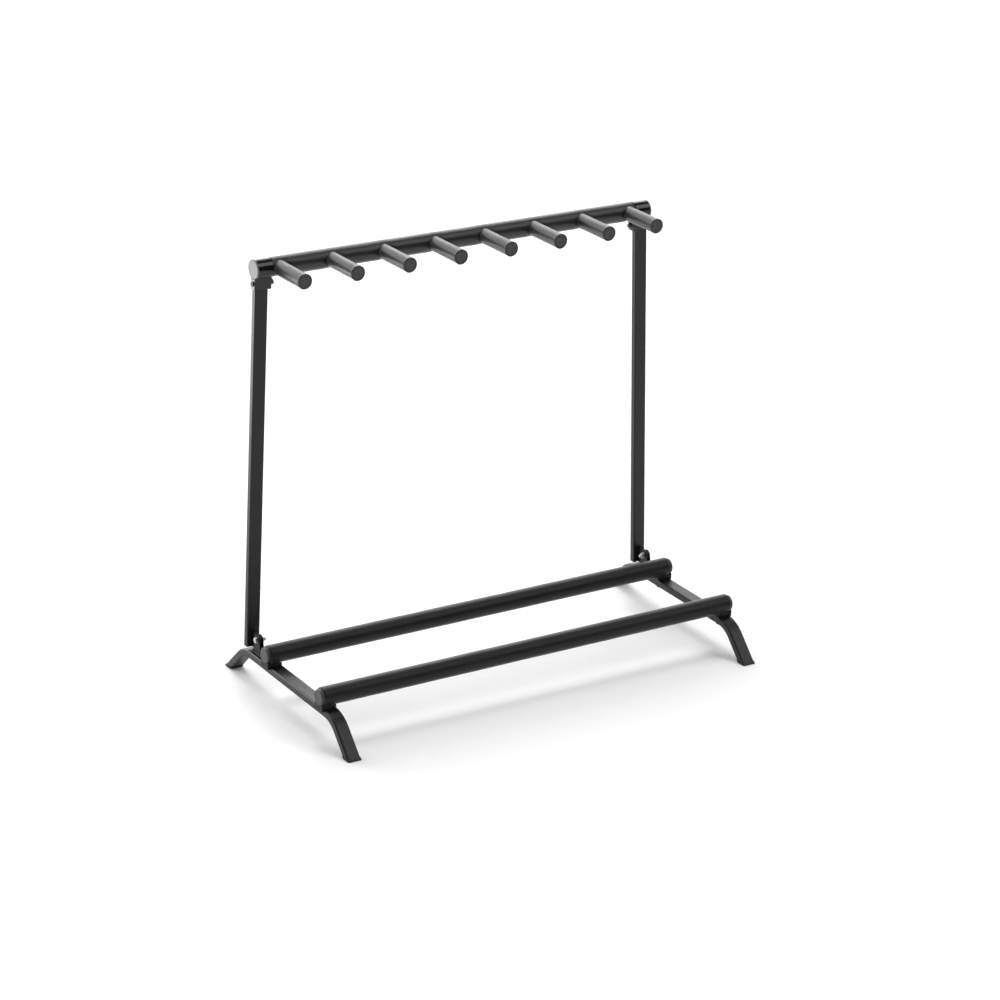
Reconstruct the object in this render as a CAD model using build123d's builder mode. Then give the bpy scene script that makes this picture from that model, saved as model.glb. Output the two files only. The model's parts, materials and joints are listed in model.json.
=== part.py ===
from build123d import *
from math import cos, radians, sin, tan
import os

os.makedirs("parts", exist_ok=True)

# Seven-space folding guitar rack. Millimetres. +Z up, +X along the padded
# bars (to the player's right), -Y is the front, where the pegs point.
# The origin is on the floor, in the middle of the four feet.

# ---------------------------------------------------------------- dimensions
# side frames: flat rectangular tube bent down at both ends into feet
frame_x = 361.5          # centre plane of each side frame
frame_w = 22.0           # tube width, along X
frame_t = 12.5           # tube height, along Z
frame_wall = 1.4
frame_edge_r = 2.6       # rolled corner of the tube
frame_zc = 48.5          # centreline of the straight run
frame_top = frame_zc + frame_t / 2
frame_bottom = frame_zc - frame_t / 2
bend_r = 48.0            # centreline radius of both bends
leg_angle = 45.0         # slope of the legs, from the horizontal
front_bend_y = -116.0    # straight run starts here
rear_bend_y = 116.0      # and ends here
foot_rim = 3.0           # plastic rim of a foot plug
foot_flare = 0.8         # rim stands proud of the tube
foot_plug_len = 14.0

# padded rails that the guitars stand on
foam_r = 15.0
tube_r = 9.5
tube_bore_r = 8.3
rail_z = 71.4
rail_front_y = -106.8
rail_rear_y = 59.4
rail_half = 372.3        # tube and foam end here
rail_cap_r = 12.6
rail_cap_t = 5.0
foam_gap = 0.05          # radial gap between a tube and its foam

# rail saddles and their bolts
saddle_half_y = 8.5
saddle_in = 351.0
saddle_out = 376.5
lip_in = 372.75          # the lip hangs over the outer side of the frame
lip_half_y = 10.5
lip_bottom = 50.5
saddle_top = 62.6
boss_r = 6.0
bolt_r = 3.0
bolt_clear_r = 3.2
rivnut_r = 4.2
rivnut_flange_r = 5.6
rivnut_flange_t = 0.8
rivnut_len = 8.0
bolt_flange_r = 7.0
bolt_flange_t = 1.4
bolt_head_t = 3.6

# hinges
hinge_x = 361.9
pivot_y = 104.5
pivot_z = 76.5
ear_r = 8.6
ear_t = 2.0
lug_half = 1.6
ear_gap = 0.15           # side clearance between lug and each ear
bracket_t = 2.2
bracket_front = 75.5
bracket_back = 117.5
hinge_bolt_r = 2.5
hinge_hole_r = 2.55
hinge_head_t = 3.2
hinge_nut_t = 5.0
hinge_tip = 2.8          # thread left beyond the nut
flange_w = 14.0          # back flange of the lug, on the upright
flange_t = 2.0
flange_top = 27.0
heel_gap = 0.25          # lug heel above the bracket floor, upright open

# uprights
up_w = 22.0
up_d = 10.5
up_wall = 1.2
up_edge_r = 1.8
up_bottom = (362.1, 126.55, 59.0)
bar_y = 149.7
bar_z = 659.2
bar_x_at_axis = 342.1    # the uprights lean in by 20 mm on each side
plug_rim = 1.5
socket_depth = 31.0      # below the bar axis
upright_top_gap = 15.4   # below the bar axis

# top bar
bar_foam_half = 327.0
sleeve_in = 327.2
sleeve_out = 352.4
cap_t = 2.6
bar_tube_half = 349.5
bore_r = 9.55
cross_bolt_drop = 22.8
cross_bolt_r = 2.0
cross_clear_r = 2.1
socket_wall_out = 1.8
socket_wall_in = 5.0
socket_y = 7.3

# pegs
peg_pitch = 90.0
peg_tilt = 0.8
peg_len = 87.0           # from the bar axis to the padded tip
peg_foam_r = 12.0
peg_core_r = 6.0
peg_core_bore = 4.5
peg_tip_foam = 4.0


def save(part, label):
    part.label = label
    export_step(part, f"parts/{label}.step")


sides = (("left", -1), ("right", 1))
rails = (("front", rail_front_y), ("rear", rail_rear_y))
a = radians(leg_angle)
drop = frame_zc + 6.0
tangent = bend_r * tan(a / 2)

# ---------------------------------------------------------------- side frames
for side, sx in sides:
    with BuildPart() as side_frame:
        with BuildLine(Plane.YZ.offset(sx * frame_x)) as frame_path:
            FilletPolyline(
                (front_bend_y - tangent - drop / tan(a), frame_zc - drop),
                (front_bend_y - tangent, frame_zc),
                (rear_bend_y + tangent, frame_zc),
                (rear_bend_y + tangent + drop / tan(a), frame_zc - drop),
                radius=bend_r,
            )
        with BuildSketch(
            Plane(
                origin=frame_path.line @ 0,
                x_dir=(1, 0, 0),
                z_dir=frame_path.line % 0,
            )
        ):
            RectangleRounded(frame_w, frame_t, frame_edge_r)
            RectangleRounded(
                frame_w - 2 * frame_wall,
                frame_t - 2 * frame_wall,
                frame_edge_r - frame_wall,
                mode=Mode.SUBTRACT,
            )
        sweep()
        # both feet are cut level, just above the rims of their plugs
        split(bisect_by=Plane.XY.offset(foot_rim), keep=Keep.TOP)
        # one vertical bolt hole under each rail
        with Locations(
            (sx * frame_x, rail_front_y, frame_zc),
            (sx * frame_x, rail_rear_y, frame_zc),
        ):
            Cylinder(bolt_clear_r, frame_t + 4, mode=Mode.SUBTRACT)
    save(side_frame.part, f"side_frame_{side}")

# ---------------------------------------------------------------- foot plugs
half_foot = frame_t / 2 / sin(a)
for side, sx in sides:
    for end, ey, sy in (
        ("front", front_bend_y - tangent - frame_zc / tan(a), -1),
        ("rear", rear_bend_y + tangent + frame_zc / tan(a), 1),
    ):
        lean = foot_rim / tan(a)
        with BuildPart() as foot_plug:
            # level rim on the floor, sheared along the leg
            with BuildSketch(
                Plane.YZ.offset(sx * frame_x - (frame_w / 2 + foot_flare))
            ):
                with BuildLine():
                    Polyline(
                        (ey - half_foot - foot_flare, 0),
                        (ey + half_foot + foot_flare, 0),
                        (ey + half_foot + foot_flare - sy * lean, foot_rim),
                        (ey - half_foot - foot_flare - sy * lean, foot_rim),
                        close=True,
                    )
                make_face()
            extrude(amount=frame_w + 2 * foot_flare)
            fillet(
                foot_plug.edges()
                .filter_by(lambda e: abs((e % 0.5).X) < 0.01 and abs((e % 0.5).Z) > 0.1),
                frame_edge_r,
            )
            fillet(foot_plug.faces().sort_by(Axis.Z)[0].edges(), 0.5)
            # body of the plug, up inside the leg
            with BuildSketch(
                Plane(
                    origin=(sx * frame_x, ey, 0),
                    x_dir=(1, 0, 0),
                    z_dir=(0, -sy * cos(a), sin(a)),
                )
            ):
                RectangleRounded(
                    frame_w - 2 * frame_wall - 0.1,
                    frame_t - 2 * frame_wall - 0.1,
                    frame_edge_r - frame_wall - 0.05,
                )
                RectangleRounded(
                    frame_w - 2 * frame_wall - 4.1,
                    frame_t - 2 * frame_wall - 4.1,
                    0.6,
                    mode=Mode.SUBTRACT,
                )
            extrude(amount=foot_plug_len + foot_rim)
            # nothing of the body shows below the rim
            split(bisect_by=Plane.XY, keep=Keep.TOP)
        save(foot_plug.part, f"foot_plug_{end}_{side}")

# ---------------------------------------------------------------- rails
for name, ry in rails:
    with BuildPart() as rail_tube:
        with BuildSketch(Plane.YZ.offset(-rail_half)):
            with Locations((ry, rail_z)):
                Circle(tube_r)
                Circle(tube_bore_r, mode=Mode.SUBTRACT)
        extrude(amount=2 * rail_half)
        with Locations(
            (-frame_x, ry, rail_z - tube_r), (frame_x, ry, rail_z - tube_r)
        ):
            Cylinder(rivnut_r + 0.05, 6, mode=Mode.SUBTRACT)
    save(rail_tube.part, f"rail_tube_{name}")

    with BuildPart() as rail_foam:
        with BuildSketch(Plane.YZ.offset(-rail_half)):
            with Locations((ry, rail_z)):
                Circle(foam_r)
                Circle(tube_r + foam_gap, mode=Mode.SUBTRACT)
        extrude(amount=2 * rail_half)
        with Locations(
            (-frame_x, ry, rail_z - 12.5), (frame_x, ry, rail_z - 12.5)
        ):
            Cylinder(boss_r + 0.1, 10, mode=Mode.SUBTRACT)
    save(rail_foam.part, f"rail_foam_{name}")

    for side, sx in sides:
        # end plug: rounded disc with a spigot in the tube
        with BuildPart() as rail_cap:
            with BuildSketch(
                Plane(
                    origin=(sx * (rail_half + 0.02), ry, rail_z),
                    x_dir=(0, 1, 0),
                    z_dir=(sx, 0, 0),
                )
            ):
                Circle(rail_cap_r)
            extrude(amount=rail_cap_t)
            fillet(
                rail_cap.faces().sort_by(Axis.X)[-1 if sx > 0 else 0].edges(), 1.8
            )
            with BuildSketch(
                Plane(
                    origin=(sx * (rail_half + 0.02), ry, rail_z),
                    x_dir=(0, 1, 0),
                    z_dir=(-sx, 0, 0),
                )
            ):
                Circle(tube_bore_r - 0.05)
                Circle(tube_bore_r - 1.8, mode=Mode.SUBTRACT)
            extrude(amount=5.5)
        save(rail_cap.part, f"rail_cap_{name}_{side}")

        # moulded saddle between the frame and the rail
        with BuildPart() as rail_saddle:
            x_lo = min(sx * saddle_in, sx * saddle_out)
            with BuildSketch(Plane.YZ.offset(x_lo)):
                with BuildLine():
                    Polyline(
                        (ry - saddle_half_y - 1.2, frame_top),
                        (ry + saddle_half_y + 1.2, frame_top),
                        (ry + saddle_half_y, saddle_top),
                        (ry - saddle_half_y, saddle_top),
                        close=True,
                    )
                make_face()
            extrude(amount=saddle_out - saddle_in)
            # lip that locates it on the outer side of the frame
            x_lip = min(sx * lip_in, sx * saddle_out)
            with BuildSketch(Plane.YZ.offset(x_lip)):
                with Locations((ry, (lip_bottom + saddle_top) / 2)):
                    RectangleRounded(
                        2 * lip_half_y, saddle_top - lip_bottom, 2.0
                    )
            extrude(amount=saddle_out - lip_in)
            # cradle for the foam
            with Locations((sx * (rail_half - 20 + 0.1), ry, rail_z)):
                Cylinder(
                    foam_r + 0.05, 40, rotation=(0, 90, 0), mode=Mode.SUBTRACT
                )
            # narrower cradle for the end plug
            with Locations((sx * (rail_half + 10), ry, rail_z)):
                Cylinder(
                    rail_cap_r + 0.05, 20, rotation=(0, 90, 0), mode=Mode.SUBTRACT
                )
            # boss through the foam up to the threaded insert
            boss_top = rail_z - tube_r - rivnut_flange_t
            with Locations((sx * frame_x, ry, (frame_top + boss_top) / 2)):
                Cylinder(boss_r, boss_top - frame_top)
                Cylinder(bolt_clear_r, 30, mode=Mode.SUBTRACT)
        save(rail_saddle.part, f"rail_saddle_{name}_{side}")

bolt_spots = [(sx * frame_x, ry) for _, ry in rails for _, sx in sides]

# four flanged hexagon bolts, heads under the side frames
with BuildPart() as rail_bolts:
    with BuildSketch(Plane.XY.offset(frame_bottom)):
        with Locations(*bolt_spots):
            Circle(bolt_flange_r)
    extrude(amount=-bolt_flange_t)
    with BuildSketch(Plane.XY.offset(frame_bottom - bolt_flange_t)):
        with Locations(*bolt_spots):
            RegularPolygon(5.5, 6)
    extrude(amount=-bolt_head_t)
    chamfer(rail_bolts.faces().group_by(Axis.Z)[0].edges(), 0.6)
    with BuildSketch(Plane.XY.offset(frame_bottom)):
        with Locations(*bolt_spots):
            Circle(bolt_r)
    extrude(amount=rail_z - tube_r + 6.0 - frame_bottom)
save(rail_bolts.part, "rail_bolts")

# four threaded inserts in the undersides of the rail tubes
with BuildPart() as rail_inserts:
    with BuildSketch(Plane.XY.offset(rail_z - tube_r - rivnut_flange_t)):
        with Locations(*bolt_spots):
            Circle(rivnut_flange_r)
            Circle(bolt_r + 0.05, mode=Mode.SUBTRACT)
    extrude(amount=rivnut_flange_t)
    with BuildSketch(Plane.XY.offset(rail_z - tube_r)):
        with Locations(*bolt_spots):
            Circle(rivnut_r)
            Circle(bolt_r + 0.05, mode=Mode.SUBTRACT)
    extrude(amount=rivnut_len)
save(rail_inserts.part, "rail_inserts")

# ---------------------------------------------------------------- hinges
ear_out = lug_half + ear_gap + ear_t
for side, sx in sides:
    with BuildPart() as hinge_bracket:
        # floor of the bent-up bracket, welded to the side frame
        with BuildSketch(Plane.XY.offset(frame_top)):
            with Locations((sx * hinge_x, (bracket_front + bracket_back) / 2)):
                RectangleRounded(2 * ear_out, bracket_back - bracket_front, 1.5)
        extrude(amount=bracket_t)
        # two rounded ears
        for x0 in (-ear_out, lug_half + ear_gap):
            with BuildSketch(Plane.YZ.offset(sx * hinge_x + x0)):
                with BuildLine():
                    Polyline(
                        (pivot_y - ear_r - 4.0, frame_top + 0.5),
                        (pivot_y + ear_r, frame_top + 0.5),
                        (pivot_y + ear_r, pivot_z),
                        (pivot_y - ear_r, pivot_z),
                        close=True,
                    )
                make_face()
                with Locations((pivot_y, pivot_z)):
                    Circle(ear_r)
                    Circle(hinge_hole_r, mode=Mode.SUBTRACT)
            extrude(amount=ear_t)
    save(hinge_bracket.part, f"hinge_bracket_{side}")

# hinge bolts: hexagon heads on the outer side of each bracket
with BuildPart() as hinge_bolts:
    for side, sx in sides:
        head = Plane(
            origin=(sx * (hinge_x + ear_out + 0.02), pivot_y, pivot_z),
            x_dir=(0, 1, 0),
            z_dir=(sx, 0, 0),
        )
        with BuildSketch(head):
            Circle(5.0)
        extrude(amount=0.6)
        with BuildSketch(head.offset(0.6)):
            RegularPolygon(4.7, 6)
        extrude(amount=hinge_head_t - 0.6)
        with BuildSketch(head):
            Circle(hinge_bolt_r)
        extrude(amount=-(2 * ear_out + 0.04 + hinge_nut_t + hinge_tip))
    chamfer(
        hinge_bolts.faces()
        .filter_by(Axis.X)
        .filter_by(lambda f: 57.0 < f.area < 57.8)
        .edges(),
        0.5,
    )
save(hinge_bolts.part, "hinge_bolts")

# hinge nuts on the inner side: self-locking, with a round collar
with BuildPart() as hinge_nuts:
    for side, sx in sides:
        seat = Plane(
            origin=(sx * (hinge_x - ear_out - 0.02), pivot_y, pivot_z),
            x_dir=(0, 1, 0),
            z_dir=(-sx, 0, 0),
        )
        with BuildSketch(seat):
            Circle(5.0)
            Circle(hinge_bolt_r + 0.05, mode=Mode.SUBTRACT)
        extrude(amount=0.6)
        with BuildSketch(seat.offset(0.6)):
            RegularPolygon(4.7, 6)
            Circle(hinge_bolt_r + 0.05, mode=Mode.SUBTRACT)
        extrude(amount=hinge_nut_t - 1.8)
        with BuildSketch(seat.offset(hinge_nut_t - 1.2)):
            Circle(3.7)
            Circle(hinge_bolt_r + 0.05, mode=Mode.SUBTRACT)
        extrude(amount=1.2)
save(hinge_nuts.part, "hinge_nuts")

# ---------------------------------------------------------------- uprights
connector_solids = {}
for side, sx in sides:
    foot = Vector(sx * up_bottom[0], up_bottom[1], up_bottom[2])
    top = Vector(sx * bar_x_at_axis, bar_y, bar_z)
    along = (top - foot).normalized()
    length = (top - foot).length
    across = (Vector(1, 0, 0) - along * along.X).normalized()
    up_plane = Plane(origin=foot, x_dir=across, z_dir=along)

    with BuildPart() as upright:
        with BuildSketch(up_plane.offset(plug_rim)):
            RectangleRounded(up_w, up_d, up_edge_r)
            RectangleRounded(
                up_w - 2 * up_wall,
                up_d - 2 * up_wall,
                up_edge_r - up_wall,
                mode=Mode.SUBTRACT,
            )
        extrude(amount=length - upright_top_gap - plug_rim)
        # cross hole for the connector bolt
        with BuildSketch(
            Plane(
                origin=foot + along * (length - cross_bolt_drop),
                x_dir=up_plane.y_dir,
                z_dir=across,
            )
        ):
            Circle(cross_clear_r)
        extrude(amount=up_w, both=True, mode=Mode.SUBTRACT)
    save(upright.part, f"upright_{side}")

    # plug in the open lower end
    with BuildPart() as upright_plug:
        with BuildSketch(up_plane):
            RectangleRounded(up_w, up_d, up_edge_r)
        extrude(amount=plug_rim)
        fillet(upright_plug.faces().sort_by(Axis.Z)[0].edges(), 0.5)
        with BuildSketch(up_plane.offset(plug_rim)):
            RectangleRounded(
                up_w - 2 * up_wall - 0.1, up_d - 2 * up_wall - 0.1, 0.5
            )
            RectangleRounded(
                up_w - 2 * up_wall - 4.1, up_d - 2 * up_wall - 4.1, 0.4,
                mode=Mode.SUBTRACT,
            )
        extrude(amount=14)
    save(upright_plug.part, f"upright_plug_{side}")

    # hinge lug: a round-topped flange welded to the front face of the
    # upright, and a plate that turns between the ears
    front_face = Plane(
        origin=foot - up_plane.y_dir * (up_d / 2),
        x_dir=across,
        z_dir=up_plane.y_dir * -1,
    )
    heel = frame_top + bracket_t + heel_gap
    with BuildPart() as hinge_lug:
        with BuildSketch(Plane.YZ.offset(sx * hinge_x - lug_half)):
            with BuildLine():
                Polyline(
                    (pivot_y + 1.0, heel),
                    (pivot_y + 26.0, heel + 3.2),
                    (pivot_y + 26.0, pivot_z + 9.0),
                    (pivot_y + 12.0, pivot_z + 9.0),
                    (pivot_y, pivot_z + 7.5),
                    (pivot_y - 7.5, pivot_z),
                    (pivot_y - 4.0, pivot_z - 7.0),
                    close=True,
                )
            make_face()
            with Locations((pivot_y, pivot_z)):
                Circle(8.0)
                Circle(hinge_hole_r, mode=Mode.SUBTRACT)
        extrude(amount=2 * lug_half)
        split(bisect_by=front_face, keep=Keep.TOP)
        with BuildSketch(front_face):
            with Locations((0, (2.0 + flange_top - flange_w / 2) / 2)):
                Rectangle(flange_w, flange_top - flange_w / 2 - 2.0)
            with Locations((0, flange_top - flange_w / 2)):
                Circle(flange_w / 2)
        extrude(amount=flange_t)
    save(hinge_lug.part, f"hinge_lug_{side}")

    # moulded tee: a sleeve for the bar and a socket for the upright
    with BuildPart() as tee:
        with BuildSketch(
            Plane(
                origin=(sx * sleeve_in, bar_y, bar_z),
                x_dir=(0, 1, 0),
                z_dir=(sx, 0, 0),
            )
        ):
            Circle(foam_r)
        extrude(amount=sleeve_out - sleeve_in)
        socket_foot = up_plane.offset(length - socket_depth)
        x_mid = -sx * (socket_wall_in - socket_wall_out) / 2
        with BuildSketch(socket_foot):
            with Locations((x_mid, 0)):
                RectangleRounded(
                    up_w + socket_wall_in + socket_wall_out, 2 * socket_y, 2.2
                )
        extrude(amount=socket_depth - 8.0)
        # thicker cheek on the inner side, where the nut bears
        with BuildSketch(socket_foot.offset(9.0)):
            with Locations((-sx * (up_w / 2 + socket_wall_in - 2.0), 0)):
                RectangleRounded(8.0, 2 * socket_y - 1.6, 1.5)
        extrude(amount=6.5)
        # room for the bar foam on one side and the end disc on the other
        with Locations((sx * (sleeve_in - 20.1), bar_y, bar_z)):
            Cylinder(
                foam_r + 0.05, 40, rotation=(0, 90, 0), mode=Mode.SUBTRACT
            )
        with Locations((sx * (sleeve_out + 10), bar_y, bar_z)):
            Cylinder(
                foam_r + 0.05, 20, rotation=(0, 90, 0), mode=Mode.SUBTRACT
            )
        # bore for the bar tube
        with BuildSketch(
            Plane(
                origin=(sx * (sleeve_in - 5), bar_y, bar_z),
                x_dir=(0, 1, 0),
                z_dir=(sx, 0, 0),
            )
        ):
            Circle(bore_r)
        extrude(amount=sleeve_out - sleeve_in + 10, mode=Mode.SUBTRACT)
        # pocket for the upright
        with BuildSketch(up_plane.offset(length - socket_depth - 1)):
            RectangleRounded(up_w + 0.1, up_d + 0.1, up_edge_r)
        extrude(
            amount=socket_depth + 1 - upright_top_gap + 0.05, mode=Mode.SUBTRACT
        )
        # cross hole
        with BuildSketch(
            Plane(
                origin=foot + along * (length - cross_bolt_drop),
                x_dir=up_plane.y_dir,
                z_dir=across,
            )
        ):
            Circle(cross_clear_r)
        extrude(amount=2 * up_w, both=True, mode=Mode.SUBTRACT)
    save(tee.part, f"top_tee_{side}")

    # end disc of the tee, plugged into the bar tube
    with BuildPart() as tee_cap:
        disc = Plane(
            origin=(sx * (sleeve_out + 0.02), bar_y, bar_z),
            x_dir=(0, 1, 0),
            z_dir=(sx, 0, 0),
        )
        with BuildSketch(disc):
            Circle(foam_r)
        extrude(amount=cap_t)
        fillet(tee_cap.faces().sort_by(Axis.X)[-1 if sx > 0 else 0].edges(), 0.7)
        with BuildSketch(disc):
            Circle(bore_r - 0.05)
        extrude(amount=-(sleeve_out - bar_tube_half - 0.1))
        with BuildSketch(disc):
            Circle(tube_bore_r - 0.05)
            Circle(tube_bore_r - 1.8, mode=Mode.SUBTRACT)
        extrude(amount=-12)
    save(tee_cap.part, f"tee_cap_{side}")

# cross bolts: pan heads on the outer faces of the sockets
with BuildPart() as tee_bolts:
    for side, sx in sides:
        foot = Vector(sx * up_bottom[0], up_bottom[1], up_bottom[2])
        top = Vector(sx * bar_x_at_axis, bar_y, bar_z)
        along = (top - foot).normalized()
        across = (Vector(1, 0, 0) - along * along.X).normalized()
        centre = top - along * cross_bolt_drop
        seat = Plane(
            origin=centre + across * (sx * (up_w / 2 + socket_wall_out + 0.02)),
            x_dir=along,
            z_dir=across * sx,
        )
        with BuildSketch(seat):
            Circle(3.8)
        extrude(amount=1.9)
        with BuildSketch(seat.offset(1.9)):
            RegularPolygon(1.6, 6)
        extrude(amount=-1.1, mode=Mode.SUBTRACT)
        with BuildSketch(seat):
            Circle(cross_bolt_r)
        extrude(amount=-(up_w + socket_wall_out + socket_wall_in + 2.0 + 4.2))
save(tee_bolts.part, "tee_bolts")

with BuildPart() as tee_nuts:
    for side, sx in sides:
        foot = Vector(sx * up_bottom[0], up_bottom[1], up_bottom[2])
        top = Vector(sx * bar_x_at_axis, bar_y, bar_z)
        along = (top - foot).normalized()
        across = (Vector(1, 0, 0) - along * along.X).normalized()
        centre = top - along * cross_bolt_drop
        seat = Plane(
            origin=centre - across * (sx * (up_w / 2 + socket_wall_in + 2.05)),
            x_dir=along,
            z_dir=across * -sx,
        )
        with BuildSketch(seat):
            RegularPolygon(3.9, 6)
            Circle(cross_bolt_r + 0.05, mode=Mode.SUBTRACT)
        extrude(amount=3.2)
save(tee_nuts.part, "tee_nuts")

# ---------------------------------------------------------------- top bar
peg_xs = [(i - 3.5) * peg_pitch for i in range(8)]
t = radians(peg_tilt)
peg_dir = Vector(0, -cos(t), sin(t))

with BuildPart() as bar_tube:
    with BuildSketch(Plane.YZ.offset(-bar_tube_half)):
        with Locations((bar_y, bar_z)):
            Circle(tube_r)
            Circle(tube_bore_r, mode=Mode.SUBTRACT)
    extrude(amount=2 * bar_tube_half)
save(bar_tube.part, "bar_tube")

with BuildPart() as bar_foam:
    with BuildSketch(Plane.YZ.offset(-bar_foam_half)):
        with Locations((bar_y, bar_z)):
            Circle(foam_r)
            Circle(tube_r + foam_gap, mode=Mode.SUBTRACT)
    extrude(amount=2 * bar_foam_half)
    # a hole for the core of each peg
    for px in peg_xs:
        with BuildSketch(
            Plane(origin=(px, bar_y, bar_z), x_dir=(1, 0, 0), z_dir=peg_dir)
        ):
            Circle(peg_core_r + 0.1)
        extrude(amount=foam_r + 4, mode=Mode.SUBTRACT)
save(bar_foam.part, "bar_foam")

for i, px in enumerate(peg_xs, 1):
    root = Plane(origin=(px, bar_y, bar_z), x_dir=(1, 0, 0), z_dir=peg_dir)
    # steel core, coped and welded to the bar tube
    with BuildPart() as peg_core:
        with BuildSketch(root):
            Circle(peg_core_r)
            Circle(peg_core_bore, mode=Mode.SUBTRACT)
        extrude(amount=peg_len - peg_tip_foam)
        with Locations((px, bar_y, bar_z)):
            Cylinder(
                tube_r + 0.01, 40, rotation=(0, 90, 0), mode=Mode.SUBTRACT
            )
    save(peg_core.part, f"peg_core_{i}")

    # foam sleeve with a closed tip, coped to the bar foam
    with BuildPart() as peg_foam:
        with BuildSketch(root):
            Circle(peg_foam_r)
        extrude(amount=peg_len)
        fillet(peg_foam.faces().sort_by(Axis.Y)[0].edges(), 0.8)
        with BuildSketch(root):
            Circle(peg_core_r + foam_gap)
        extrude(amount=peg_len - peg_tip_foam + 0.05, mode=Mode.SUBTRACT)
        with Locations((px, bar_y, bar_z)):
            Cylinder(
                foam_r + 0.05, 40, rotation=(0, 90, 0), mode=Mode.SUBTRACT
            )
    save(peg_foam.part, f"peg_foam_{i}")
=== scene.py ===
import bpy
import json
from math import acos, cos, exp, pi, radians, sin, sqrt
from mathutils import Matrix, Vector, noise


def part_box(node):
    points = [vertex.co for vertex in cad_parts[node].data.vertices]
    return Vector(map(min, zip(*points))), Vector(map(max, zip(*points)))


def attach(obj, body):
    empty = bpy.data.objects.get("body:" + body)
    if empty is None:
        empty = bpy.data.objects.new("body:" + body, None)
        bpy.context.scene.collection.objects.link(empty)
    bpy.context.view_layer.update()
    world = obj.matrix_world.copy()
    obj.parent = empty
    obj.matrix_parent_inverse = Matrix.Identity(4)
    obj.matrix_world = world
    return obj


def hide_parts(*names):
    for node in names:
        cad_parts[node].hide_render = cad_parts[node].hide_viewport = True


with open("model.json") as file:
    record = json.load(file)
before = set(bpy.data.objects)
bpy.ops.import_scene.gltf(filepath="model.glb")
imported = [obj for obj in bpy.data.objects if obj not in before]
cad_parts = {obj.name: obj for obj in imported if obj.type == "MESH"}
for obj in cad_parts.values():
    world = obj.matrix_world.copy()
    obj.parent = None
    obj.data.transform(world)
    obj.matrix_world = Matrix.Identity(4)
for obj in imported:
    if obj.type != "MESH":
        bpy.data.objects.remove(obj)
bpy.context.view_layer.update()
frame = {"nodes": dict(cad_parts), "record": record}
nodes = frame["nodes"]
scene = bpy.context.scene

# ------------------------------------------------------------------ camera
# principal direction and roll solved from the straight edges of the rack
AZ, EL, ROLL = radians(-33.452), radians(22.132), radians(2.455)
DIST, FOCAL_PX = 5.0867, 3297.31
TARGET = Vector((-0.00015, -0.0027, 0.28044))
back = Vector((sin(AZ) * cos(EL), -cos(AZ) * cos(EL), sin(EL)))
right0 = Vector((cos(AZ), sin(AZ), 0.0))
up0 = back.cross(right0)
right = right0 * cos(ROLL) + up0 * sin(ROLL)
up = up0 * cos(ROLL) - right0 * sin(ROLL)
cam_data = bpy.data.cameras.new("camera")
cam_data.sensor_width = 36.0
cam_data.lens = FOCAL_PX * 36.0 / 1000.0
cam_data.clip_start, cam_data.clip_end = 0.05, 200.0
cam = bpy.data.objects.new("camera", cam_data)
m = Matrix.Identity(4)
for i in range(3):
    m[i][0], m[i][1], m[i][2] = right[i], up[i], back[i]
    m[i][3] = (TARGET + back * DIST)[i]
cam.matrix_world = m
scene.collection.objects.link(cam)
scene.camera = cam
scene.view_settings.view_transform = "Standard"
scene.view_settings.look = "None"


# ------------------------------------------------------------------ materials
def new_mat(name):
    mat = bpy.data.materials.new(name)
    mat.use_nodes = True
    nt = mat.node_tree
    nt.nodes.clear()
    out = nt.nodes.new("ShaderNodeOutputMaterial")
    bsdf = nt.nodes.new("ShaderNodeBsdfPrincipled")
    nt.links.new(bsdf.outputs[0], out.inputs[0])
    coord = nt.nodes.new("ShaderNodeTexCoord")
    return mat, nt, bsdf, coord


def mapping(nt, coord, scale):
    node = nt.nodes.new("ShaderNodeMapping")
    node.inputs["Scale"].default_value = scale
    nt.links.new(coord.outputs["Object"], node.inputs["Vector"])
    return node.outputs[0]


def noise_tex(nt, vec, scale, detail=3.0, rough=0.5, distortion=0.0):
    node = nt.nodes.new("ShaderNodeTexNoise")
    node.inputs["Scale"].default_value = scale
    node.inputs["Detail"].default_value = detail
    node.inputs["Roughness"].default_value = rough
    node.inputs["Distortion"].default_value = distortion
    nt.links.new(vec, node.inputs["Vector"])
    return node.outputs["Fac"]


def voronoi(nt, vec, scale, feature="F1", out="Distance"):
    node = nt.nodes.new("ShaderNodeTexVoronoi")
    node.feature = feature
    node.inputs["Scale"].default_value = scale
    nt.links.new(vec, node.inputs["Vector"])
    return node.outputs[out]


def ramp(nt, fac, stops):
    node = nt.nodes.new("ShaderNodeValToRGB")
    el = node.color_ramp.elements
    el[0].position, el[0].color = stops[0][0], stops[0][1]
    el[1].position, el[1].color = stops[-1][0], stops[-1][1]
    for p, c in stops[1:-1]:
        e = el.new(p)
        e.color = c
    nt.links.new(fac, node.inputs[0])
    return node.outputs[0]


def rerange(nt, fac, lo, hi):
    node = nt.nodes.new("ShaderNodeMapRange")
    node.inputs["From Min"].default_value = 0.3
    node.inputs["From Max"].default_value = 0.7
    node.inputs["To Min"].default_value = lo
    node.inputs["To Max"].default_value = hi
    nt.links.new(fac, node.inputs["Value"])
    return node.outputs[0]


def mix_val(nt, a, b, wa, wb):
    """wa * a + wb * b"""
    m1 = nt.nodes.new("ShaderNodeMath")
    m1.operation = "MULTIPLY"
    m1.inputs[1].default_value = wa
    nt.links.new(a, m1.inputs[0])
    m2 = nt.nodes.new("ShaderNodeMath")
    m2.operation = "MULTIPLY_ADD"
    m2.inputs[1].default_value = wb
    nt.links.new(b, m2.inputs[0])
    nt.links.new(m1.outputs[0], m2.inputs[2])
    return m2.outputs[0]


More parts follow.
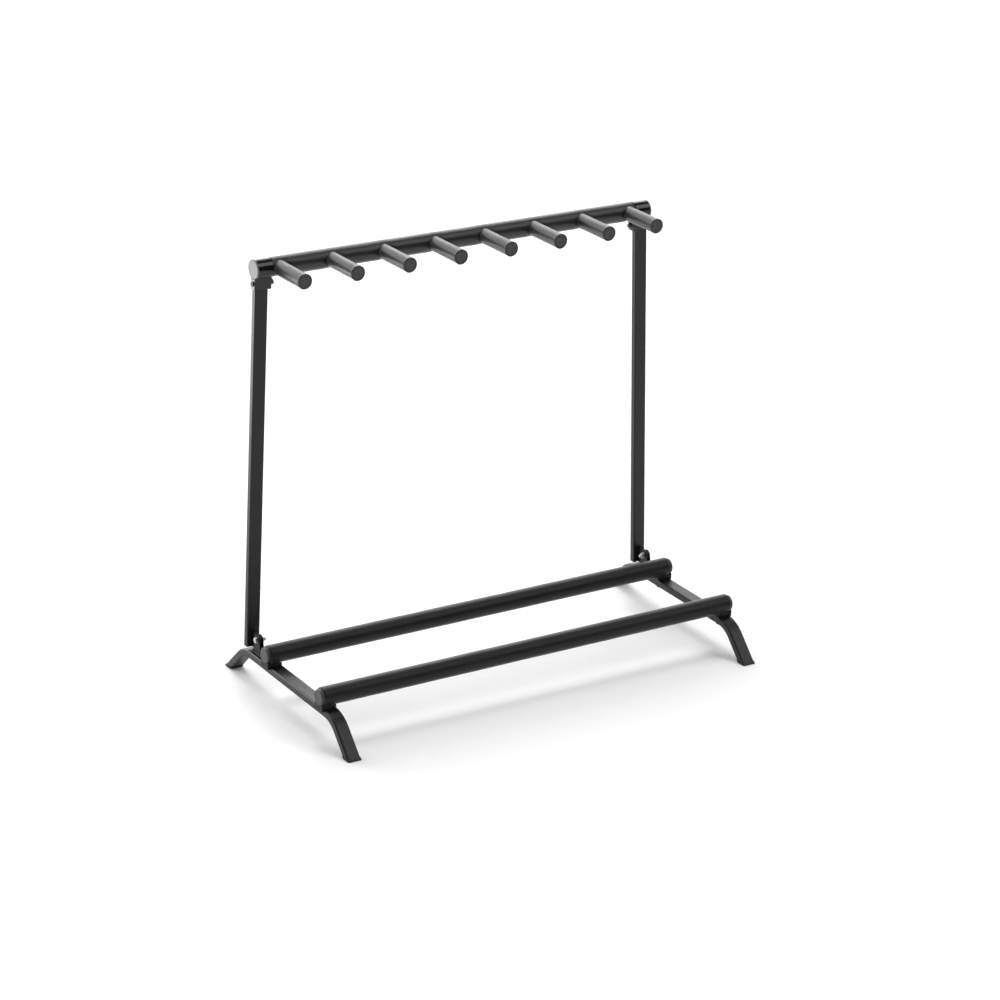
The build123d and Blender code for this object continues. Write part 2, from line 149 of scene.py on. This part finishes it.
def bump(nt, bsdf, height, strength, distance, prev=None):
    node = nt.nodes.new("ShaderNodeBump")
    node.inputs["Strength"].default_value = strength
    node.inputs["Distance"].default_value = distance
    nt.links.new(height, node.inputs["Height"])
    if prev is not None:
        nt.links.new(prev, node.inputs["Normal"])
    nt.links.new(node.outputs[0], bsdf.inputs["Normal"])
    return node.outputs[0]


def grey(v, tint=1.0):
    return (v, v, v * tint, 1.0)


def powder_coat():
    mat, nt, bsdf, co = new_mat("powder_coat_black")
    v = mapping(nt, co, (1, 1, 1))
    big = noise_tex(nt, v, 9.0, 4.0)
    mid = noise_tex(nt, v, 160.0, 3.0)
    fine = noise_tex(nt, v, 1500.0, 2.0, 0.6)
    grain = voronoi(nt, v, 1150.0)
    lines = noise_tex(nt, mapping(nt, co, (1, 0.03, 1)), 620.0, 2.0, 0.6)
    blend = mix_val(nt, mix_val(nt, big, mid, 0.6, 0.4), lines, 0.55, 0.45)
    nt.links.new(
        ramp(nt, blend, [(0.3, grey(0.0055)), (0.55, grey(0.009)), (0.75, grey(0.014, 1.02))]),
        bsdf.inputs["Base Color"],
    )
    nt.links.new(rerange(nt, blend, 0.30, 0.52), bsdf.inputs["Roughness"])
    b0 = bump(nt, bsdf, lines, 0.12, 0.0004)
    b1 = bump(nt, bsdf, mix_val(nt, fine, grain, 0.7, 0.5), 0.16, 0.0002, b0)
    bump(nt, bsdf, mid, 0.06, 0.0006, b1)
    bsdf.inputs["Specular IOR Level"].default_value = 0.38
    return mat


def foam(name, lo, hi, r_lo, r_hi, stretch, tip=False, spec=0.26):
    mat, nt, bsdf, co = new_mat(name)
    v = mapping(nt, co, (1, 1, 1))
    streak_v = mapping(nt, co, stretch)
    big = noise_tex(nt, v, 14.0, 4.0)
    streak = noise_tex(nt, streak_v, 260.0, 3.0)
    pores = voronoi(nt, v, 900.0 if not tip else 620.0)
    fine = noise_tex(nt, v, 1300.0, 3.0, 0.65)
    blend = mix_val(nt, big, streak, 0.5, 0.5)
    if tip:
        blend = mix_val(nt, fine, pores, 0.6, 0.55)
    nt.links.new(
        ramp(nt, blend, [(0.3, grey(lo)), (0.5, grey((lo + hi) / 2)), (0.72, grey(hi, 1.01))]),
        bsdf.inputs["Base Color"],
    )
    nt.links.new(rerange(nt, blend, r_lo, r_hi), bsdf.inputs["Roughness"])
    b1 = bump(nt, bsdf, mix_val(nt, fine, pores, 0.55, 0.6), 0.28 if not tip else 0.9, 0.00035)
    bump(nt, bsdf, streak, 0.10 if not tip else 0.2, 0.0006, b1)
    bsdf.inputs["Specular IOR Level"].default_value = spec
    bsdf.inputs["Sheen Weight"].default_value = 0.10
    bsdf.inputs["Sheen Roughness"].default_value = 0.5
    return mat


def plastic(name, lo, hi, r_lo, r_hi, bump_s=0.12, coat=0.0, spec=0.5):
    mat, nt, bsdf, co = new_mat(name)
    v = mapping(nt, co, (1, 1, 1))
    big = noise_tex(nt, v, 38.0, 4.0)
    fine = noise_tex(nt, v, 1100.0, 3.0, 0.6)
    nt.links.new(
        ramp(nt, big, [(0.3, grey(lo)), (0.7, grey(hi, 1.01))]), bsdf.inputs["Base Color"]
    )
    nt.links.new(rerange(nt, big, r_lo, r_hi), bsdf.inputs["Roughness"])
    b1 = bump(nt, bsdf, fine, bump_s, 0.0002)
    bump(nt, bsdf, big, 0.05, 0.001, b1)
    bsdf.inputs["Specular IOR Level"].default_value = spec
    if coat:
        bsdf.inputs["Coat Weight"].default_value = coat
        bsdf.inputs["Coat Roughness"].default_value = 0.08
    return mat


def metal(name, lo, hi, r_lo, r_hi):
    mat, nt, bsdf, co = new_mat(name)
    v = mapping(nt, co, (1, 1, 1))
    turned = mapping(nt, co, (25, 1, 1))
    big = noise_tex(nt, v, 120.0, 4.0)
    line = noise_tex(nt, turned, 500.0, 3.0)
    blend = mix_val(nt, big, line, 0.5, 0.5)
    nt.links.new(
        ramp(nt, blend, [(0.3, grey(lo)), (0.7, grey(hi, 1.02))]), bsdf.inputs["Base Color"]
    )
    nt.links.new(rerange(nt, blend, r_lo, r_hi), bsdf.inputs["Roughness"])
    bump(nt, bsdf, line, 0.12, 0.0002)
    bsdf.inputs["Metallic"].default_value = 1.0
    return mat


M = {
    "powder_coat": powder_coat(),
    "bar_foam": foam("foam_skin_bar", 0.0100, 0.0160, 0.36, 0.48, (0.06, 1, 1), spec=0.19),
    # painted highlight: the top bar gets its own copy of the rail foam, darker and more reflective, so it
    # catches a strong highlight along its top
    "top_foam_highlight_copy": foam("foam_skin_top_painted_highlight", 0.008, 0.013, 0.34, 0.44, (0.06, 1, 1), spec=0.5),
    # painted light: the peg foam is lighter than the bar foam, standing in for the light falling on the pegs
    # from above
    "peg_foam": foam("foam_skin_peg_painted_light", 0.019, 0.038, 0.30, 0.42, (1, 0.06, 1), spec=0.36),
    "foam_end": foam("foam_cut_end", 0.004, 0.010, 0.75, 0.95, (1, 1, 1), tip=True, spec=0.08),
    # painted shade: the saddles get a darker copy of the rail-end plastic, standing in for the shadow under
    # the rails
    "saddle": plastic("plastic_saddle_painted_shade", 0.010, 0.018, 0.5, 0.65, 0.2, spec=0.3),
    # painted shade: the powder-coated hinge lugs and brackets get a darker black, standing in for the shade
    # at the foot of the uprights
    "hinge_black_painted_shade": plastic("hinge_black_painted_shade", 0.004, 0.008, 0.42, 0.58, 0.2, spec=0.3),
    "peg_tip": foam("foam_cut_tip", 0.012, 0.105, 0.75, 0.95, (1, 1, 1), tip=True),
    "foot_plastic": plastic("plastic_foot", 0.008, 0.014, 0.5, 0.65, 0.25),
    "rail_plastic": plastic("plastic_rail_end", 0.035, 0.055, 0.45, 0.6, 0.22),
    "tee_plastic": plastic("plastic_tee_gloss", 0.004, 0.007, 0.10, 0.17, 0.03, 0.25, spec=0.32),
    "cap_plastic": plastic("plastic_tee_cap", 0.13, 0.17, 0.38, 0.5, 0.15),
    "bare_tube": metal("steel_bare", 0.32, 0.5, 0.28, 0.4),
    "black_fastener": plastic("oxide_black", 0.01, 0.02, 0.3, 0.42, 0.1),
    "zinc_fastener": metal("zinc_bright", 0.34, 0.52, 0.24, 0.38),
}
slots = {s["node"]: s["material_slot"] for s in frame["record"]["subparts"]}
for name, obj in nodes.items():
    for ms in obj.material_slots:
        key = slots[name]
        # painted shade: the saddles take the darker plastic copy
        if name.startswith("rail_saddle"):
            key = "saddle"
        # painted shade: the hinge lugs and brackets take the darker black copy
        elif name.startswith(("hinge_lug", "hinge_bracket")):
            key = "hinge_black_painted_shade"
        ms.material = M[key]


# ------------------------------------------------------------------ foam
def make_mesh(name, verts, faces, mats, face_mats=None):
    me = bpy.data.meshes.new(name)
    me.from_pydata([tuple(v) for v in verts], [], faces)
    me.validate()
    for mt in mats:
        me.materials.append(mt)
    for i, p in enumerate(me.polygons):
        p.use_smooth = True
        if face_mats:
            p.material_index = face_mats[i]
    ob = bpy.data.objects.new(name, me)
    scene.collection.objects.link(ob)
    return ob


def bar_sleeve(name, node, body, bore, dents=(), press=(), seed=0.0, skin="bar_foam"):
    """A foam tube along X: rolled end lips, slight waviness, dents where
    pegs are pushed through it, and a pressed patch over each saddle."""
    lo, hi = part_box(node)
    x0, x1 = lo[0], hi[0]
    cy, cz = (lo[1] + hi[1]) / 2, (lo[2] + hi[2]) / 2
    R = (hi[1] - lo[1]) / 2
    lip = 0.0021
    prof = []                      # (x, radius, is_outer)
    n_len = max(60, int((x1 - x0) / 0.0035))
    for k in range(7):             # rounded lip at the left end
        a = pi - (pi / 2) * k / 6.0
        prof.append((x0 + lip + lip * cos(a), R - lip + lip * sin(a), 1.0))
    for k in range(1, n_len):
        prof.append((x0 + lip + (x1 - x0 - 2 * lip) * k / n_len, R, 1.0))
    for k in range(7):
        a = pi / 2 - (pi / 2) * k / 6.0
        prof.append((x1 - lip + lip * cos(a), R - lip + lip * sin(a), 1.0))
    for k in range(1, 5):          # end face, a little dished
        t = k / 4.0
        r = (R - lip) * (1 - t) + bore * t
        prof.append((x1 - 0.0003 * sin(pi * t), r, 0.3))
    for k in range(1, 9):          # bore
        prof.append((x1 + (x0 - x1) * k / 9.0, bore, 0.0))
    prof.append((x0, bore, 0.0))
    for k in range(1, 4):
        t = k / 4.0
        r = bore * (1 - t) + (R - lip) * t
        prof.append((x0 + 0.0003 * sin(pi * t), r, 0.3))
    n = 72
    verts, faces, fmats = [], [], []
    for (x, r, w) in prof:
        for j in range(n):
            a = 2 * pi * j / n
            rr = r
            if w > 0:
                p = Vector((x * 26 + seed, cos(a) * 1.1, sin(a) * 1.1))
                rr += w * (
                    0.00022 * noise.noise(p)
                    + 0.00010 * noise.noise(p * 4.1 + Vector((7, 3, 1)))
                    - 0.00012
                )
                for dx in dents:   # pegs leave towards -Y
                    d2 = (x - dx) ** 2 + (R * sin(a)) ** 2
                    if cos(a) < 0:
                        rr -= w * 0.0011 * exp(-max(0.0, sqrt(d2) - 0.0112) ** 2 / 0.0035 ** 2)
                for dx in press:   # the saddles press up from below
                    da = (a - 1.5 * pi) * R
                    d = max(0.0, abs(x - dx) - 0.008)
                    rr -= w * 0.0004 * exp(-(d / 0.006) ** 2) * exp(-(da / 0.010) ** 2)
            verts.append((x, cy + rr * cos(a), cz + rr * sin(a)))
    m_ = len(prof)
    for k in range(m_):
        k2 = (k + 1) % m_
        for j in range(n):
            j2 = (j + 1) % n
            faces.append((k * n + j, k * n + j2, k2 * n + j2, k2 * n + j))
            fmats.append(1 if min(prof[k][2], prof[k2][2]) < 0.5 else 0)
    ob = make_mesh(name, verts, faces, [M[skin], M["foam_end"]], fmats)
    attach(ob, body)
    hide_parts(node)
    return ob


def peg_sleeve(name, node, body, px, axis_y, axis_z, bar_R, seed):
    """A foam peg: coped onto the bar, slightly uneven skin, a rim and a
    recessed cut-cell plug at the tip."""
    R, bore, length, bore_end = 0.0120, 0.00605, 0.0870, 0.0830
    tilt = radians(0.8)
    d = Vector((0, -cos(tilt), sin(tilt)))
    e1 = Vector((1, 0, 0))
    e2 = d.cross(e1)
    if e2.z < 0:
        e2 = -e2
    root = Vector((px, axis_y, axis_z))
    n = 72

    def base(r, a):                # where a line of the peg meets the bar
        v = r * sin(a)
        return sqrt(bar_R * bar_R - v * v) - 0.0002

    lip = 0.0011
    prof = [("s", 0.0, bore_end, 0), ("s", bore * 0.5, bore_end, 0), ("s", bore, bore_end, 0)]
    for k in range(1, 6):
        prof.append(("b", bore, k / 6.0, 0))
    prof.append(("e", bore, 0, 0))
    prof.append(("e", (bore + R) / 2, 0, 0))
    prof.append(("e", R - 0.0004, 0, 0))
    n_len = 26
    for k in range(0, n_len):
        prof.append(("o", R, k / float(n_len), 1))
    for k in range(6):
        a = (pi / 2) * k / 5.0
        prof.append(("s", R - lip + lip * cos(a), length - lip + lip * sin(a), 1))
    prof.append(("s", 0.0100, length, 2))
    prof.append(("s", 0.0094, length - 0.0001, 2))
    prof.append(("s", 0.0091, length - 0.0009, 2))
    prof.append(("s", 0.0088, length - 0.0009, 2))
    prof.append(("s", 0.0085, length - 0.0002, 3))
    for k in range(1, 12):
        prof.append(("s", 0.0085 * (1 - k / 12.0), length - 0.0002, 3))
    verts, faces, fmats = [], [], []
    rings = []
    for (kind, r, s, tag) in prof:
        if r == 0.0:
            verts.append(root + d * s)
            rings.append([len(verts) - 1])
            continue
        ring = []
        for j in range(n):
            a = 2 * pi * j / n
            rr, ss = r, s
            if kind == "e":
                ss = base(r, a)
            elif kind == "b":
                ss = bore_end + (base(bore, a) - bore_end) * s
            elif kind == "o":
                b = base(R, a)
                ss = b + (length - lip - b) * s
                p = Vector((seed + ss * 40, cos(a) * 1.2, sin(a) * 1.2))
                rr += 0.00016 * noise.noise(p) + 0.00007 * noise.noise(p * 4.3) - 0.0001
                rr += 0.0004 * exp(-((ss - b) / 0.0025) ** 2) - 0.0003
            if tag >= 2:
                q = Vector((rr * cos(a), rr * sin(a), 0)) * 900 + Vector((seed, 0, 0))
                amp = 0.00012 if tag == 2 else 0.00030
                ss += amp * (noise.noise(q) + 0.5 * noise.noise(q * 2.3)) - amp * 0.6
            verts.append(root + d * ss + (e1 * cos(a) + e2 * sin(a)) * rr)
            ring.append(len(verts) - 1)
        rings.append(ring)
    verts.append(root + d * (length - 0.0003))
    rings.append([len(verts) - 1])
    tags = [p[3] for p in prof] + [3]
    for k in range(len(rings) - 1):
        A, B = rings[k], rings[k + 1]
        mt = 1 if min(tags[k], tags[k + 1]) >= 2 else 0
        for j in range(n):
            j2 = (j + 1) % n
            if len(A) == 1:
                faces.append((A[0], B[j], B[j2]))
            elif len(B) == 1:
                faces.append((A[j], B[0], A[j2]))
            else:
                faces.append((A[j], B[j], B[j2], A[j2]))
            fmats.append(mt)
    ob = make_mesh(name, verts, faces, [M["peg_foam"], M["peg_tip"]], fmats)
    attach(ob, body)
    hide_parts(node)
    return ob


def fix_normals(ob):
    import bmesh

    bm = bmesh.new()
    bm.from_mesh(ob.data)
    bmesh.ops.recalc_face_normals(bm, faces=bm.faces)
    bm.to_mesh(ob.data)
    bm.free()


rail_bolt_x = 0.3615
made = []
for i, side in enumerate(("front", "rear")):
    made.append(
        bar_sleeve(
            f"foam_rail_{side}", f"rail_foam_{side}", "base", 0.00955,
            press=(-rail_bolt_x, rail_bolt_x), seed=11.0 + 9 * i,
        )
    )
peg_x = [(i - 3.5) * 0.09 for i in range(8)]
# the top bar takes the more reflective foam copy (painted highlight along its top)
made.append(bar_sleeve("foam_top_bar", "bar_foam", "upper", 0.00955, dents=peg_x, seed=41.0, skin="top_foam_highlight_copy"))
blo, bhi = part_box("bar_foam")
bar_axis = ((blo[1] + bhi[1]) / 2, (blo[2] + bhi[2]) / 2)
for i, px in enumerate(peg_x, 1):
    made.append(
        peg_sleeve(f"foam_peg_{i}", f"peg_foam_{i}", "upper", px, bar_axis[0], bar_axis[1], 0.015, 3.7 * i)
    )
for ob in made:
    fix_normals(ob)


# ------------------------------------------------------------------ welds
def weld_bead(name, body, pts, radius, seed):
    """A row of overlapping ripples laid along a polyline."""
    path = []
    for a, b in zip(pts[:-1], pts[1:]):
        a, b = Vector(a), Vector(b)
        steps = max(2, int((b - a).length / 0.00045))
        for k in range(steps):
            path.append(a.lerp(b, k / steps))
    path.append(Vector(pts[-1]))
    n = 10
    verts, faces = [], []
    for k, p in enumerate(path):
        q = path[min(k + 1, len(path) - 1)] - path[max(k - 1, 0)]
        q.normalize()
        u = q.cross(Vector((0.31, 0.52, 0.79))).normalized()
        w = q.cross(u)
        end = min(k, len(path) - 1 - k)
        r = radius * (0.86 + 0.16 * abs(sin(k * 0.9 + seed))) * min(1.0, 0.35 + end * 0.22)
        for j in range(n):
            a = 2 * pi * j / n
            verts.append(p + (u * cos(a) + w * sin(a)) * r)
    for k in range(len(path) - 1):
        for j in range(n):
            j2 = (j + 1) % n
            faces.append((k * n + j, k * n + j2, (k + 1) * n + j2, (k + 1) * n + j))
    faces.append(tuple(reversed(range(n))))
    last = (len(path) - 1) * n
    faces.append(tuple(range(last, last + n)))
    ob = make_mesh(name, verts, faces, [M["powder_coat"]])
    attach(ob, body)
    fix_normals(ob)
    return ob


for side in ("left", "right"):
    lo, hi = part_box(f"hinge_bracket_{side}")
    z = lo[2] + 0.0002
    for tag, x in (("a", lo[0]), ("b", hi[0])):
        weld_bead(
            f"weld_bracket_{side}_{tag}", "base",
            [(x, lo[1] + 0.004, z), (x, hi[1] - 0.003, z)], 0.0011, 1.0,
        )

# ------------------------------------------------------------------ stage
me = bpy.data.meshes.new("floor")
S = 30.0
me.from_pydata([(-S, -S, 0), (S, -S, 0), (S, S, 0), (-S, S, 0)], [], [(0, 1, 2, 3)])
floor = bpy.data.objects.new("floor", me)
scene.collection.objects.link(floor)
mat, nt, bsdf, co = new_mat("floor_white")
bsdf.inputs["Base Color"].default_value = (0.94, 0.94, 0.94, 1)
bsdf.inputs["Roughness"].default_value = 0.9
bsdf.inputs["Specular IOR Level"].default_value = 0.1
me.materials.append(mat)

world = bpy.data.worlds.new("studio")
scene.world = world
world.use_nodes = True
wt = world.node_tree
bg = wt.nodes["Background"]
bg.inputs[0].default_value = (1, 1, 1, 1)
wc = wt.nodes.new("ShaderNodeTexCoord")
sep = wt.nodes.new("ShaderNodeSeparateXYZ")
wt.links.new(wc.outputs["Generated"], sep.inputs[0])


def wmath(op, a, b):
    node = wt.nodes.new("ShaderNodeMath")
    node.operation = op
    for k, v in enumerate((a, b)):
        if isinstance(v, (int, float)):
            node.inputs[k].default_value = v
        else:
            wt.links.new(v, node.inputs[k])
    return node.outputs[0]


# a dome: bright behind and to the left, dim in front
rear = wmath("MAXIMUM", sep.outputs[1], 0.0)
fore = wmath("MINIMUM", sep.outputs[1], 0.0)
dome = wmath("ADD", wmath("MULTIPLY", wmath("MULTIPLY", rear, rear), 4.0), 0.17)
dome = wmath("ADD", dome, wmath("MULTIPLY", fore, 0.10))
dome = wmath("ADD", dome, wmath("MULTIPLY", sep.outputs[0], -0.20))
dome = wmath("MAXIMUM", dome, 0.10)
wt.links.new(dome, bg.inputs[1])


def sun(name, toward, angle, energy):
    data = bpy.data.lights.new(name, "SUN")
    data.angle = radians(angle)
    data.energy = energy
    ob = bpy.data.objects.new(name, data)
    ob.rotation_euler = Vector(toward).to_track_quat("Z", "Y").to_euler()
    scene.collection.objects.link(ob)
    return ob


sun("key_top_back", (0.15, 0.42, 1.0), 20, 1.02)
sun("fill_front", (0.80, -0.60, 1.0), 36, 0.74)


def area(name, loc, aim, size, size_y, power):
    data = bpy.data.lights.new(name, "AREA")
    data.shape = "RECTANGLE"
    data.size, data.size_y = size, size_y
    data.energy = power
    ob = bpy.data.objects.new(name, data)
    ob.location = loc
    dirn = Vector(aim) - Vector(loc)
    ob.rotation_euler = dirn.to_track_quat("-Z", "Y").to_euler()
    scene.collection.objects.link(ob)
    return ob


# a low card on the left for the side faces, and a box behind for the
# highlights along the top bar and the rails
area("left_card", (-1.0, 1.05, 0.32), (-0.35, 0.15, 0.45), 0.8, 0.5, 6)
area("back_box", (1.26, 1.92, 1.93), (0, 0.1, 0.3), 1.6, 1.2, 12)
